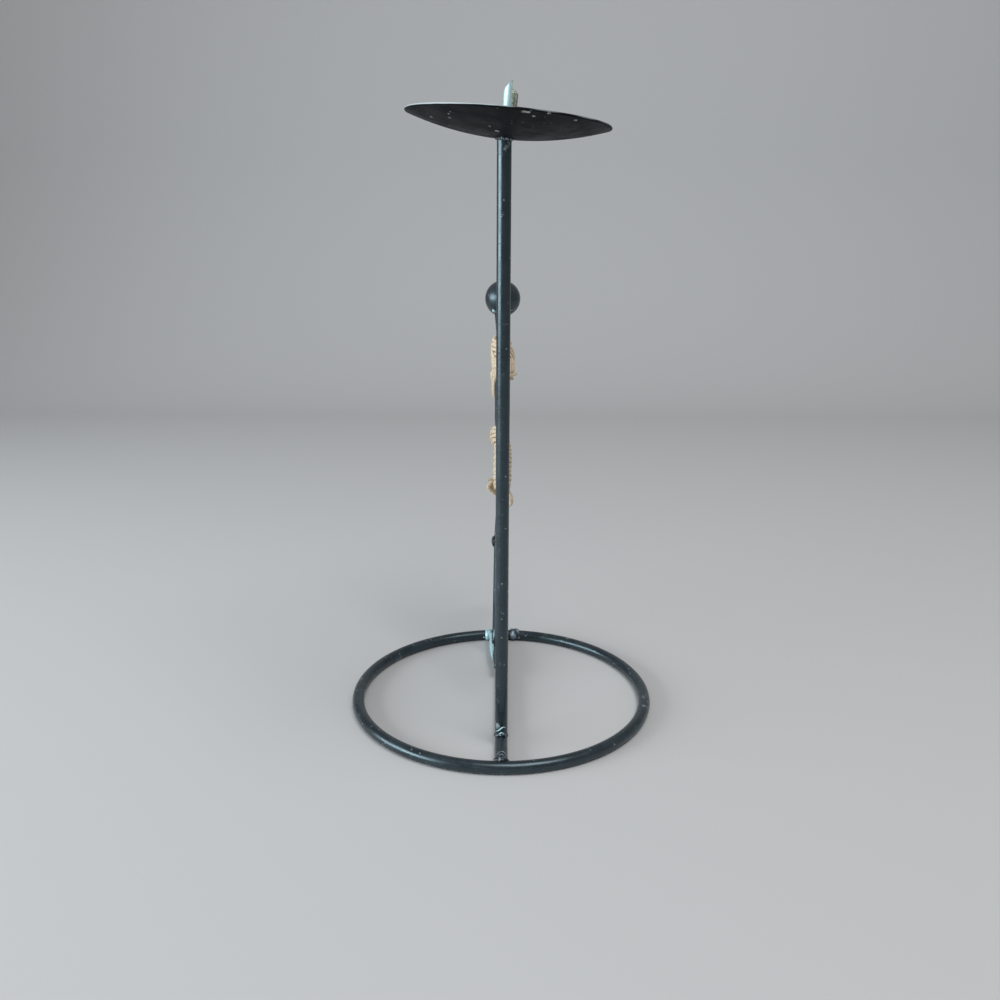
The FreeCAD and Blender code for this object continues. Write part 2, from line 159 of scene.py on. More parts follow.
def sweep(path, outward, radius, sides=14, flat=1.0, ply=0.0, layLength=6.0, turn=0.0):
    # a tube along a path: across the path, the profile is a circle of the given radius,
    # flattened along the outward direction, with three plies that turn along its length
    steps = np.linalg.norm(np.diff(path, axis=0), axis=1)
    along = np.concatenate([[0], np.cumsum(steps)])
    angle = turnAngles(sides)[None, :]
    twist = (along / layLength * 2 * np.pi + turn)[:, None]
    crest = np.abs(np.cos(1.5 * (angle - twist))) ** 0.8
    reach = np.reshape(radius, (-1, 1)) * (1 - ply + ply * crest)
    surface = tubeSurface(path, np.gradient(path, axis=0), outward, angle, reach, flat)
    fibre = np.stack([np.broadcast_to(along[:, None], crest.shape) * fibreScale["along"],
                      np.cos(angle - twist) * fibreScale["round"],
                      np.sin(angle - twist) * fibreScale["round"]], axis=-1)
    return surface, fibre, crest


# Shader helpers

def fill(tree, node, inputs):
    # inputs are given as values or as sockets to link from
    for key, value in inputs.items():
        if isinstance(value, bpy.types.NodeSocket):
            tree.links.new(value, node.inputs[key])
        else:
            node.inputs[key].default_value = value


def addNode(tree, kind, inputs, **settings):
    node = tree.nodes.new("ShaderNode" + kind)
    for key, value in settings.items():
        setattr(node, key, value)
    fill(tree, node, inputs)
    return node


def blendValue(tree, share, low, high):
    return addNode(tree, "Mix", {0: share, 2: low, 3: high}).outputs[0]


def blendColour(tree, share, low, high):
    node = addNode(tree, "Mix", {0: share, 6: low, 7: high}, data_type="RGBA")
    return node.outputs[2]


def between(tree, value, low, high):
    # zero under low, one over high, and smooth from one to the other
    node = addNode(tree, "MapRange", {"Value": value, "From Min": low, "From Max": high},
                   interpolation_type="SMOOTHSTEP")
    return node.outputs[0]


def calculate(tree, operation, *values):
    return addNode(tree, "Math", dict(enumerate(values)), operation=operation).outputs[0]


def times(tree, *values):
    return calculate(tree, "MULTIPLY", *values)


def timesPlus(tree, *values):
    return calculate(tree, "MULTIPLY_ADD", *values)


def noise(tree, vector, scale, detail, roughness=0.5):
    inputs = {"Vector": vector, "Scale": scale, "Detail": detail, "Roughness": roughness}
    return addNode(tree, "TexNoise", inputs).outputs[0]


def vectorMath(tree, operation, *values):
    return addNode(tree, "VectorMath", dict(enumerate(values)), operation=operation)


def attribute(tree, name, output):
    return addNode(tree, "Attribute", {}, attribute_name=name).outputs[output]


def newGroup(name, inputs, outputs):
    # inputs with a value are numbers and the others vectors, and every output is a number
    group = bpy.data.node_groups.new(name, "ShaderNodeTree")
    for label, value in inputs.items():
        kind = "NodeSocketVector" if value is None else "NodeSocketFloat"
        socket = group.interface.new_socket(label, in_out="INPUT", socket_type=kind)
        if value is not None:
            socket.default_value = value
    for label in outputs:
        group.interface.new_socket(label, in_out="OUTPUT", socket_type="NodeSocketFloat")
    start = group.nodes.new("NodeGroupInput").outputs
    return group, start, group.nodes.new("NodeGroupOutput")


def useGroup(tree, group, inputs):
    return addNode(tree, "Group", inputs, node_tree=group).outputs


# Flakes of missing paint: coarse noise chooses where, fine noise gives the torn edge
def makeFlakes():
    group, start, end = newGroup(
        "paintFlakes", {"Vector": None, "Spread": 120.0, "Amount": 0.3}, ("Mask", "Edge"))
    coarse = noise(group, start["Vector"], start["Spread"], detail=2.0, roughness=0.55)
    fineScale = times(group, start["Spread"], 6.5)
    fine = noise(group, start["Vector"], fineScale, detail=3.0, roughness=0.65)
    both = timesPlus(group, fine, 0.42, coarse)
    # the amount lowers the level at which paint is gone
    above = calculate(group, "SUBTRACT", both, timesPlus(group, start["Amount"], -0.55, 1.08))
    fill(group, end, {"Mask": between(group, above, 0.0, 0.02),
                      "Edge": between(group, above, -0.06, 0.03)})
    return group


# A place of wear, also used for a painted highlight: one at its centre, fading to zero at its reach
def makePatch():
    group, start, end = newGroup("wearAndHighlightPlace", {"Vector": None, "Centre": None, "Reach": 0.01}, ["Mask"])
    apart = vectorMath(group, "DISTANCE", start["Vector"], start["Centre"]).outputs["Value"]
    share = calculate(group, "DIVIDE", apart, start["Reach"])
    fill(group, end, {"Mask": between(group, share, 1.0, 0.25)})
    return group


# Dust and fine scratches: pale specks, thin streaks that run one way, and a cloud
def makeDust():
    group, start, end = newGroup(
        "dustAndScratches", {"Vector": None, "Specks": 0.5}, ("Specks", "Streaks", "Cloud"))
    place = start["Vector"]
    cells = addNode(group, "TexVoronoi", {"Vector": place, "Scale": 900.0, "Randomness": 1.0})
    choose = addNode(group, "SeparateColor", {0: cells.outputs["Color"]}).outputs[0]
    chosen = calculate(group, "GREATER_THAN", choose, timesPlus(group, start["Specks"], -0.25, 1.0))
    near = between(group, cells.outputs["Distance"], 0.34, 0.16)
    stretched = addNode(group, "Mapping", {
        "Vector": place, "Rotation": (0.4, 0.3, 0.5), "Scale": (40, 40, 1800)})
    streaks = noise(group, stretched.outputs[0], scale=1.0, detail=2.0)
    cloud = noise(group, place, scale=140.0, detail=3.0, roughness=0.6)
    fill(group, end, {
        "Specks": times(group, chosen, near), "Streaks": between(group, streaks, 0.66, 0.76),
        "Cloud": between(group, cloud, 0.35, 0.7)})
    return group


flakes, wearAndHighlightPlace, dustAndScratches = makeFlakes(), makePatch(), makeDust()


def startMaterial(name):
    material = bpy.data.materials.new(name)
    material.use_nodes = True
    tree = material.node_tree
    shader = tree.nodes["Principled BSDF"]
    here = addNode(tree, "TexCoord", {}).outputs["Object"]
    return material, tree, shader, here


def bump(tree, height, strength, distance):
    inputs = {"Height": height, "Strength": strength, "Distance": distance}
    return addNode(tree, "Bump", inputs).outputs[0]


# Satin paint over steel rod, with places of wear and painted highlights given as a centre, a reach and a
# strength
def paintedSteel(name, look):
    material, tree, shader, here = startMaterial(name)
    dust = useGroup(tree, dustAndScratches, {"Vector": here, "Specks": look["specks"]})
    amount = look["wear"]
    for centre, reach, strength in look["places"]:
        patch = useGroup(tree, wearAndHighlightPlace, {
            "Vector": here, "Centre": [v * mm for v in centre], "Reach": reach * mm})
        amount = timesPlus(tree, patch[0], strength, amount)
    chips = useGroup(tree, flakes, {"Vector": here, "Spread": look["spread"], "Amount": amount})
    cloudy = blendColour(tree, dust["Cloud"], look["paint"], look["paintPale"])
    scuffed = blendColour(tree, times(tree, dust["Streaks"], look["scuffs"]),
                          cloudy, look["scuffColour"])
    speckled = blendColour(tree, dust["Specks"], scuffed, look["speckColour"])
    ringed = blendColour(tree, chips["Edge"], speckled, look["primer"])
    rust = between(tree, noise(tree, here, scale=700.0, detail=3.0), 0.45, 0.62)
    bare = blendColour(tree, rust, look["bare"], look["bareDark"])
    streakRoughness, edgeRoughness, chipDepth = 0.6, 0.48, -0.9
    rough = blendValue(tree, dust["Cloud"], *look["gloss"])
    rough = blendValue(tree, dust["Streaks"], rough, streakRoughness)
    peel = noise(tree, here, scale=420.0, detail=2.0)
    height = timesPlus(tree, noise(tree, here, scale=2200.0, detail=2.0), look["grit"], peel)
    height = timesPlus(tree, chips["Mask"], chipDepth, height)
    fill(tree, shader, {
        "Base Color": blendColour(tree, chips["Mask"], ringed, bare),
        "Metallic": times(tree, chips["Mask"], look["metal"]),
        "Roughness": blendValue(tree, chips["Edge"], rough, edgeRoughness),
        "Normal": bump(tree, height, strength=0.35, distance=0.00012),
        # the cool cyan tint of every reflection on this paint is painted light colour
        "Specular IOR Level": look["shine"], "Specular Tint": look["tint"]})
    return material


rodLook = {
    "paint": (0.0075, 0.01, 0.0135, 1), "paintPale": (0.014, 0.019, 0.024, 1),
    "scuffColour": (0.09, 0.11, 0.12, 1), "scuffs": 0.14,
    "speckColour": (0.22, 0.26, 0.27, 1), "specks": 0.22,
    "primer": (0.07, 0.092, 0.105, 1), "bare": (0.34, 0.41, 0.44, 1),
    "bareDark": (0.13, 0.14, 0.14, 1), "metal": 0.6, "gloss": (0.25, 0.36),
    "wear": 0.22, "spread": 330.0, "grit": 0.25, "shine": 0.9, "tint": (0.66, 0.9, 1.0, 1),
    "places": [((-59.5, 5.8, 3.5), 8, 0.3), ((-37.2, 51.4, 4), 7, 0.3), ((-50.2, 34.7, 4), 8, 0.24),
               ((58.5, -12, 3), 16, 0.2), ((30, 55, 4), 14, 0.14), ((-3, 63, 4), 5, 0.32),
               # the place low on the upright's front left, at z 9, is a painted highlight set as bare
               # paint
               ((-1.5, -43.1, 9), 2.2, 0.66), ((1.2, -43.2, 224.3), 2.0, 0.66),
               ((0.6, -43.3, 222.6), 1.6, 0.55), ((-3, 52, 60), 6, 0.25)],
}
panLook = dict(
    rodLook, specks=0.12, spread=190.0, gloss=(0.48, 0.64), grit=0.5, shine=0.09, wear=0.18, metal=0.25,
    paint=(0.0028, 0.0036, 0.0048, 1), paintPale=(0.005, 0.0062, 0.008, 1),
    speckColour=(0.12, 0.14, 0.14, 1), primer=(0.03, 0.036, 0.04, 1),
    bare=(0.4, 0.42, 0.38, 1), bareDark=(0.18, 0.15, 0.12, 1), places=[
        ((-17.2, -59.3, 229.8), 1.1, 0.72), ((-17.8, -47.2, 229.1), 1.0, 0.68),
        ((-17.4, -63.1, 230.5), 0.9, 0.6), ((-23.5, -52.5, 231.0), 1.1, 0.62),
        ((-4.7, -59.5, 227.4), 1.0, 0.85), ((-2.4, -54.6, 226.6), 1.6, 0.5),
        ((5.6, -74.3, 229.4), 1.2, 0.85), ((7.0, -74.2, 229.3), 1.0, 0.85),
        ((8.7, -71.5, 228.6), 1.0, 0.8), ((13.3, -73.5, 229.1), 1.0, 0.62),
        ((21.5, -66.5, 228.1), 1.5, 0.58), ((19.3, -60.1, 226.9), 1.1, 0.62)])
headLook = dict(rodLook, specks=0.08, wear=0.12, scuffs=0.15, gloss=(0.26, 0.36), places=[
    ((-5, 76, 162), 3, 0.3)])
rodPaint = paintedSteel("blackRodPaint", rodLook)
panPaint = paintedSteel("blackPanPaint", panLook)
headPaint = paintedSteel("blackHeadPaint", headLook)
print("paint ready")


# The pan sits on the upright at a tilt: x and y across it and z up from its underside
panTilt = dict(seat=(0.9, -41.0, 226.0), lean=4.8, nod=2.4)


def panPlace(x, y, z):
    turned = (Matrix.Rotation(math.radians(panTilt["nod"]), 3, "X")
              @ Matrix.Rotation(math.radians(panTilt["lean"]), 3, "Y"))
    flat = np.stack(np.broadcast_arrays(x, y, z), axis=-1).astype(float)
    return flat @ np.array(turned).T + panTilt["seat"]


# The pan's rim wears to bare metal and carries a painted highlight: a mask of how far each point lies from
# the pan's axis
def wearAndHighlightPanRim(material, rim):
    tree = material.node_tree
    shader = tree.nodes["Principled BSDF"]
    here = addNode(tree, "TexCoord", {}).outputs["Object"]
    moved = vectorMath(tree, "SUBTRACT", here, list(panPlace(0, 0, 0) * mm)).outputs[0]
    axis = list(panPlace(0, 0, 1) - panPlace(0, 0, 0))
    high = vectorMath(tree, "DOT_PRODUCT", moved, axis).outputs["Value"]
    aside = vectorMath(tree, "CROSS_PRODUCT", moved, axis).outputs[0]
    reach = vectorMath(tree, "LENGTH", aside).outputs["Value"]
    ragged = noise(tree, here, scale=260.0, detail=4.0)
    edge = timesPlus(tree, ragged, rim["ragged"] * mm, reach)
    rimWearAndHighlight = between(tree, edge, rim["starts"] * mm, rim["brightFrom"] * mm)
    patchy = noise(tree, here, scale=55.0, detail=2.0)
    x = addNode(tree, "SeparateXYZ", {0: here}).outputs[0]
    # bare and bright all along the left side, a painted highlight where the light falls, and only here and
    # there on the right
    rightward = between(tree, x, *rim["leftToRight"])
    needed = blendValue(tree, rightward, *rim["patchesNeeded"])
    chosen = between(tree, calculate(tree, "SUBTRACT", patchy, needed), 0.0, rim["patchEdge"])
    rimWearAndHighlight = times(tree, rimWearAndHighlight, chosen)
    rimWearAndHighlight = times(tree, rimWearAndHighlight, blendValue(tree, rightward, *rim["strength"]))
    # a corner's height varies along the rim, so the bright line is thicker in places
    lift = timesPlus(tree, patchy, rim["lift"], high)
    brightTop = rim["brightAbove"] + rim["fadeHeight"]
    rimWearAndHighlight = times(tree, rimWearAndHighlight, between(tree, lift, rim["brightAbove"] * mm, brightTop * mm))
    for label, mixer in (("Base Color", blendColour), ("Metallic", blendValue), ("Roughness", blendValue)):
        socket = shader.inputs[label]
        before = socket.links[0].from_socket
        tree.links.new(mixer(tree, rimWearAndHighlight, before, rim[label]), socket)


wearAndHighlightPanRim(panPaint, {
    "starts": 34.0, "brightFrom": 34.4, "ragged": 0.6, "brightAbove": 6.35, "fadeHeight": 0.25,
    "leftToRight": (-0.012, 0.01), "patchesNeeded": (0.2, 0.4), "patchEdge": 0.12,
    "strength": (1.0, 0.3), "lift": 0.0011,
    "Base Color": (0.66, 0.76, 0.78, 1), "Metallic": 0.45, "Roughness": 0.4})


# Cut steel pin: a bright brushed bevel on the left, painted pale as a highlight where the light falls, and
# a dull speckled film on the right, painted dark as shade
def pinSteel(look):
    material, tree, shader, here = startMaterial("cutPinSteel")
    x = addNode(tree, "SeparateXYZ", {0: here}).outputs[0]
    ragged = noise(tree, here, scale=500.0, detail=4.0)
    side = timesPlus(tree, ragged, look["ragged"], x)
    shadedSide = between(tree, side, look["split"] * mm, (look["split"] + look["fade"]) * mm)
    brushed = addNode(tree, "Mapping", {"Vector": here, "Scale": (5200, 5200, 160)})
    lines = noise(tree, brushed.outputs[0], scale=1.0, detail=3.0)
    litBlade = blendColour(tree, between(tree, lines, 0.3, 0.7), look["bright"], look["brightDark"])
    spots = noise(tree, here, scale=1500.0, detail=4.0, roughness=0.7)
    shadedFilm = blendColour(tree, between(tree, spots, 0.42, 0.6), look["shadedFilm"], look["shadedFilmPale"])
    height = timesPlus(tree, times(tree, spots, shadedSide), look["spotHeight"], lines)
    fill(tree, shader, {
        "Base Color": blendColour(tree, shadedSide, litBlade, shadedFilm),
        "Metallic": blendValue(tree, shadedSide, *look["metal"]),
        "Roughness": blendValue(tree, shadedSide, *look["roughness"]),
        "Normal": bump(tree, height, strength=0.4, distance=0.00012)})
    return material


# metal and roughness are given for the bevel and then for the film
pinMaterial = pinSteel({
    "split": 2.85, "fade": 0.5, "ragged": 0.0014, "spotHeight": 1.6,
    "metal": (0.7, 0.25), "roughness": (0.5, 0.72),
    "bright": (0.56, 0.74, 0.76, 1), "brightDark": (0.42, 0.58, 0.6, 1),
    "shadedFilm": (0.2, 0.24, 0.18, 1), "shadedFilmPale": (0.58, 0.64, 0.54, 1)})


# Weld metal: thin paint that is missing on the crests, so they show bare
def weldMetal(name, look):
    material, tree, shader, here = startMaterial(name)
    paintRoughness, bareEdge, lumpShare, crestShare = 0.36, 0.1, 0.9, 0.35
    lumps = noise(tree, here, scale=480.0, detail=4.0, roughness=0.6)
    fine = noise(tree, here, scale=1900.0, detail=3.0)
    crest = times(tree, attribute(tree, "crest", "Fac"), crestShare)
    level = timesPlus(tree, lumps, lumpShare, crest)
    bareMask = between(tree, level, look["bareAt"], look["bareAt"] + bareEdge)
    tint = blendColour(tree, fine, look["bare"], look["bareBlue"])
    height = timesPlus(tree, fine, 0.5, lumps)
    fill(tree, shader, {
        "Base Color": blendColour(tree, bareMask, look["paint"], tint),
        "Metallic": times(tree, bareMask, look["metal"]),
        "Roughness": blendValue(tree, bareMask, paintRoughness, look["roughness"]),
        "Normal": bump(tree, height, strength=0.55, distance=0.0003)})
    return material


darkWeld = weldMetal("paintedWeldMetal", {
    "paint": (0.011, 0.015, 0.02, 1), "bare": (0.44, 0.5, 0.52, 1), "bareBlue": (0.2, 0.3, 0.36, 1),
    "bareAt": 0.76, "metal": 0.7, "roughness": 0.38})
# a lit copy of the weld metal: its pale cyan, paint included, is a painted highlight for the welds on the
# left, where the light falls
litWeld = weldMetal("bareAndLitWeldMetal", {
    "paint": (0.13, 0.22, 0.25, 1), "bare": (0.5, 0.72, 0.76, 1), "bareBlue": (0.36, 0.58, 0.64, 1),
    "bareAt": 0.36, "metal": 0.3, "roughness": 0.46})
dullWeld = weldMetal("greyWeldMetal", {
    "paint": (0.035, 0.05, 0.062, 1), "bare": (0.3, 0.36, 0.4, 1), "bareBlue": (0.16, 0.22, 0.27, 1),
    "bareAt": 0.56, "metal": 0.5, "roughness": 0.5})


# Natural cord: fibres run along each ply, the grooves get painted shade, and so the crests are paler
def cordFibre(name, look):
    material, tree, shader, here = startMaterial(name)
    fibre = attribute(tree, "fibre", "Vector")
    crest = attribute(tree, "crest", "Fac")
    threads = noise(tree, fibre, scale=3.2, detail=4.0, roughness=0.62)
    hairs = noise(tree, fibre, scale=9.0, detail=2.0)
    stain = noise(tree, here, scale=95.0, detail=3.0)
    body = blendColour(tree, between(tree, threads, 0.33, 0.68), look["dark"], look["pale"])
    # each layer: what it follows, from where to where it grows, its strength and its colour
    for source, low, high, strength, colour in (
            (hairs, 0.55, 0.72, 0.35, "thread"), (stain, 0.52, 0.75, 0.45, "stain"),
            (crest, 0.75, 0.05, 0.6, "grooveShade")):
        layer = times(tree, between(tree, source, low, high), strength)
        body = blendColour(tree, layer, body, look[colour])
    height = timesPlus(tree, hairs, 0.5, threads)
    fill(tree, shader, {
        "Base Color": body, "Roughness": 0.86, "Specular IOR Level": 0.25,
        "Sheen Weight": 0.25, "Sheen Roughness": 0.45,
        "Normal": bump(tree, height, strength=0.7, distance=0.00022)})
    return material


cordMaterial = cordFibre("naturalCord", {
    "dark": (0.58, 0.45, 0.3, 1), "pale": (0.83, 0.73, 0.57, 1), "thread": (0.92, 0.86, 0.74, 1),
    "stain": (0.56, 0.41, 0.27, 1), "grooveShade": (0.27, 0.18, 0.1, 1)})
print("materials ready")


# CAD pieces whose shape is right keep it and take a finish
finishes = {
    "base_ring": rodPaint, "base_crossbar": rodPaint, "upright": rodPaint, "drip_pan": panPaint,
    "pricket_pin": pinMaterial, "front_leg_rod": rodPaint, "rear_leg_rod": rodPaint,
    "neck_wire_left": rodPaint, "neck_wire_right": rodPaint, "head_ball": headPaint}
for nodeName, material in finishes.items():
    data = nodes[nodeName].data
    data.materials.clear()
    data.materials.append(material)


# Welds. Each bead is a tube along its joint, thicker and thinner along the way, with the fine
# steps that a weld pool leaves.

rods = dict(radius=2.5, ringRadius=62.5, height=2.3, uprightY=-41.0)

# along every bead, the fine steps rise to crests that are blunter than a sine
crestPower = 0.6


def roughen(surface, path, lumps):
    # each point moves away from the path by its own lump
    return surface + lumps[..., None] * unit(surface - path[:, None])


def weldBead(path, centre, bead):
    # a closed tube: the radius swells with slow waves and steps with the pool's ripples
    size, seed = bead["size"], bead["seed"]
    turn, angle = turnAngles(len(path))[:, None], turnAngles(18)[None, :]
    swell = 0.12 * np.sin(2 * turn + seed) + 0.08 * np.sin(5 * turn + 2.1 * seed)
    drift = 0.5 * np.sin(3 * turn + seed) + 0.3 * np.sin(7 * turn + 1.7 * seed)
    step = (turn * bead["ripples"] / (2 * np.pi) + 0.6 * np.sin(angle) + drift) % 1.0
    crest = np.sin(np.pi * step) ** crestPower
    ahead = np.roll(path, -1, axis=0) - np.roll(path, 1, axis=0)
    surface = tubeSurface(path, ahead, unit(path - centre), angle, size * (0.9 + swell + 0.07 * crest))
    return roughen(surface, path, waves(surface, size * 1.3, seed) * size * 0.13), crest


def seamAlong(stops, radii, seed, count=70, ripples=9, rough=0.12):
    # a bead along an open seam: a tube through the stops that swells and steps like a weld pool
    path = throughPoints(stops, count)
    share = np.linspace(0, 1, count)
    width = widthsAlong(count, np.linspace(0, 1, len(radii)), radii)
    angle = turnAngles(16)[None, :]
    step = (share[:, None] * ripples + 0.3 * np.sin(angle)) % 1.0
    crest = np.sin(np.pi * step) ** crestPower
    # the ends are thinner but not sharp
    ends = np.sin(np.pi * np.clip(share, 0.02, 0.98)) ** 0.3
    reach = width[:, None] * (0.88 + 0.14 * crest) * ends[:, None]
    surface = tubeSurface(path, np.gradient(path, axis=0), (0.31, 0.22, 0.93), angle, reach)
    return roughen(surface, path, waves(surface, 1.6, seed) * rough), crest


def heap(centre, radii, seed, rough=0.16, rows=28, cols=40, pole=0.02):
    # a lumpy ball: a sphere scaled three ways, with waves of two sizes on its surface
    up, turn = np.linspace(pole, np.pi - pole, rows)[:, None], turnAngles(cols)[None, :]
    ball = np.stack([np.sin(up) * np.cos(turn), np.sin(up) * np.sin(turn),
                     -np.cos(up) * np.ones_like(turn)], axis=-1)
    scale = np.array(radii)
    coarse = waves(ball * scale, scale.mean() * 1.5, seed)
    fine = waves(ball * scale, scale.mean() * 0.6, seed + 7)
    lump = coarse + 0.5 * fine
    surface = centre + ball * scale * (1 + rough * lump)[..., None]
    crest = 0.5 + 0.5 * np.clip(lump, -1, 1)
    return surface, crest


def welds(name, parts, material, replaced, closedLong=False):
    surfaces, crests = zip(*parts)
    return buildPiece(name, surfaces, material, replaced, closedLong, {"crest": crests})


def loopWeld(name, path, centre, bead, material, node):
    welds(name, [weldBead(path, centre, bead)], material, [node], closedLong=True)


def cylinderAt(across, lift):
    # how far a cylinder a little thicker than the rod reaches, at places across it
    return np.sqrt(np.maximum((rods["radius"] + lift) ** 2 - across ** 2, 0))


phi = turnAngles(160)
rodCos, rodSin = rods["radius"] * np.cos(phi), rods["radius"] * np.sin(phi)

# where the upright stands on the crossbar: a circle of the rod's radius dropped onto a cylinder
footBead = dict(lift=0.35, narrow=0.97, centreZ=3.5, size=0.46, seed=3, ripples=13)
footZ = cylinderAt(rodCos, footBead["lift"]) + rods["height"]
footSeam = np.stack([rodCos * footBead["narrow"], rodSin + rods["uprightY"], footZ], axis=1)
loopWeld("uprightFootBead", footSeam, (0, rods["uprightY"], footBead["centreZ"]),
         footBead, darkWeld, "upright_foot_weld")

# where the crossbar meets the ring: the same circle, stood on end against the ring's inside
ringBead = dict(lift=0.3, wide=1.05, tall=1.02, bottom=1.4, centreY=59.0, size=0.95, ripples=14)
for side, label, node in (
        (-1, "frontRingBead", "ring_weld_front"), (1, "rearRingBead", "ring_weld_rear")):
    seamY = side * (rods["ringRadius"] - cylinderAt(rodSin, ringBead["lift"]))
    seamZ = np.maximum(rodSin * ringBead["tall"] + rods["height"], ringBead["bottom"])
    loopWeld(label, np.stack([rodCos * ringBead["wide"], seamY, seamZ], axis=1),
             (0, side * ringBead["centreY"], rods["height"]),
             dict(ringBead, seed=5 + side), darkWeld, node)

# where the upright meets the pan, and where the pin stands in it: circles on the dish
panBead = dict(radius=2.62, shift=-0.9, height=-0.12, centreZ=-0.4, size=0.62, seed=11, ripples=12)
pinBead = dict(radius=2.62, shift=0, height=0.98, centreZ=0.5, size=0.56, seed=13, ripples=12)
for label, bead, material, node in (
        ("panBead", panBead, darkWeld, "pan_weld"), ("pinBead", pinBead, dullWeld, "pin_weld")):
    seam = panPlace(bead["radius"] * np.cos(phi) + bead["shift"], bead["radius"] * np.sin(phi),
                    bead["height"])
    loopWeld(label, seam, panPlace(bead["shift"], 0, bead["centreZ"]), bead, material, node)
print("beads ready")


# More welds: heaped metal on the ring, bare lines, the strut and the open beads of its joints

# the left heap takes the lit weld finish, a painted highlight, and the right one a greyer finish
welds("ringHeapLeft", [
    heap((-6.5, 61.6, 2.9), (2.4, 2.8, 2.6), 21),
    heap((-8.5, 61.3, 2.1), (1.5, 1.8, 1.4), 22)], litWeld, ["ring_weld_blobs"])
welds("ringHeapRight", [
    heap((6.6, 61.7, 3.0), (3.1, 2.9, 2.9), 23),
    heap((9.0, 61.1, 2.3), (1.8, 1.9, 1.6), 24)], dullWeld, [])


def onUpright(turn, along):
    return np.stack([rods["radius"] * np.sin(turn),
                     rods["uprightY"] - rods["radius"] * np.cos(turn), along], axis=1)


def onCrossbar(turn, along):
    return np.stack([rods["radius"] * np.sin(turn), along,
                     rods["height"] + rods["radius"] * np.cos(turn)], axis=1)


# pale lines on the welds, those on the upright's foot in the lit weld finish as painted highlight: stops
# are degrees round a rod and a place on it
paleLines = (
    {"label": "footPaleLines", "place": onUpright, "material": litWeld, "seed": 45,
     "radii": (0.16, 0.3, 0.16),
     "lines": (((-62, 6.2), (-22, 7.2), (18, 8.6), (48, 7.8)), ((-34, 4.9), (4, 6.2), (40, 5.0)))},
    {"label": "crossbarPaleLines", "place": onCrossbar, "material": dullWeld, "seed": 47,
     "radii": (0.14, 0.24, 0.14),
     "lines": (((-62, -57.6), (-20, -55.6), (22, -55.2), (60, -57.0)),
               ((-40, -58.6), (0, -57.2), (44, -58.4)))})
for group in paleLines:
    parts = []
    for index, line in enumerate(group["lines"]):
        degrees, along = np.array(line, float).T
        stops = group["place"](np.radians(degrees), along)
        parts.append(seamAlong(stops, group["radii"], group["seed"] + index, rough=0.05))
    welds(group["label"], parts, group["material"], [])

# the strut comes down to the crossbar, bends forward and lies along its top
strut = dict(
    radius=1.75, rows=150, sides=28, endRows=(0, 147, 148, 149), endShares=(1, 1, 0.95, 0.82), stops=[
        (-1.9, 50.9, 57.0), (-2.1, 48.9, 44.0), (-2.3, 46.8, 31.0), (-2.5, 45.0, 18.5),
        (-2.65, 43.9, 12.5), (-2.75, 41.8, 8.5), (-2.7, 38.3, 6.1), (-2.4, 33.0, 5.8),
        (-2.1, 27.0, 6.0), (-1.8, 21.0, 6.15), (-1.6, 16.0, 6.25)])
strutWidth = np.interp(np.arange(strut["rows"]), strut["endRows"],
                       strut["radius"] * np.array(strut["endShares"]))
strutTube = sweep(throughPoints(strut["stops"], strut["rows"]), (-1.0, 0.05, 0.0),
                  strutWidth, strut["sides"])
buildPiece("strutRod", [strutTube[0]], rodPaint, ["support_strut"])

# one long run of bare metal that tapers along the strut's foot, pale in the lit weld finish as painted
# highlight, and the beads of small joints
openWelds = {
    "strutFootBead": (litWeld, "strut_foot_weld", [
        seamAlong([(-5.2, 58.5, 4.2), (-4.4, 52, 5.6), (-4.0, 45, 6.0), (-4.0, 38, 6.0),
                   (-4.0, 32, 5.8), (-4.1, 26, 5.2)],
                  (2.0, 1.75, 1.7, 1.6, 1.25, 0.4), 31, ripples=14, count=120, rough=0.22),
        seamAlong([(-1.2, 40, 7.0), (-0.6, 33, 6.6), (-0.3, 26, 6.3)], (0.5, 0.7, 0.4), 32, ripples=8)]),
    "strutKneeBead": (darkWeld, "strut_knee_weld", [
        seamAlong([(-3.9, 49.6, 53.3), (-4.1, 51.3, 55.2), (-3.6, 53.6, 56.8), (-1.4, 54.6, 57.8)],
                  (0.6, 0.9, 0.9, 0.5), 33),
        seamAlong([(-3.3, 49.2, 55.6), (-2.6, 49.3, 57.3), (-1.2, 50.3, 58.0)], (0.5, 0.8, 0.5), 34)]),
    "backBead": (darkWeld, "back_weld", [
        seamAlong([(0.3, 48.0, 123.4), (0.5, 47.9, 120), (0.3, 48.2, 117), (0.5, 48.4, 114.6)],
                  (0.5, 0.9, 0.8, 0.5), 35),
        seamAlong([(0.4, 51.3, 123.2), (0.3, 51.6, 119), (0.5, 51.8, 115)], (0.5, 0.9, 0.5), 36)])}
for label, (material, node, beads) in openWelds.items():
    welds(label, beads, material, [node])

# two beads hold the head on its wires, one the mirror of the other; the left one takes the lit weld finish
# as painted highlight and the right one the dark finish
headStops = ((4.9, 74.2, 164.3), (4.4, 73.8, 163.5), (3.4, 74.1, 163.1), (3.0, 75.2, 163.3))
for side, label, material, replaced in (
        (-1, "headBeadLeft", litWeld, ["head_welds"]), (1, "headBeadRight", darkWeld, [])):
    stops = [(side * x, y, z) for x, y, z in headStops]
    welds(label, [seamAlong(stops, (0.3, 0.52, 0.5, 0.3), 40 + side, ripples=5)], material, replaced)
print("welds ready")


# Cord. Each strand is three plies twisted together, wound tight and pressed a little flat.

def plied(path, outward, radius, seed, flat=0.8, ply=0.16, lay=4.6, sides=12):
    # the strand's width wanders a little, and its plies start from a turn of their own
    rng = np.random.default_rng(seed)
    width = np.broadcast_to(radius, (len(path),)) * (1 + 0.07 * waves(path, 5.0, seed))
    return sweep(path, outward, width, sides, flat, ply, lay, rng.uniform(0, 6.28))


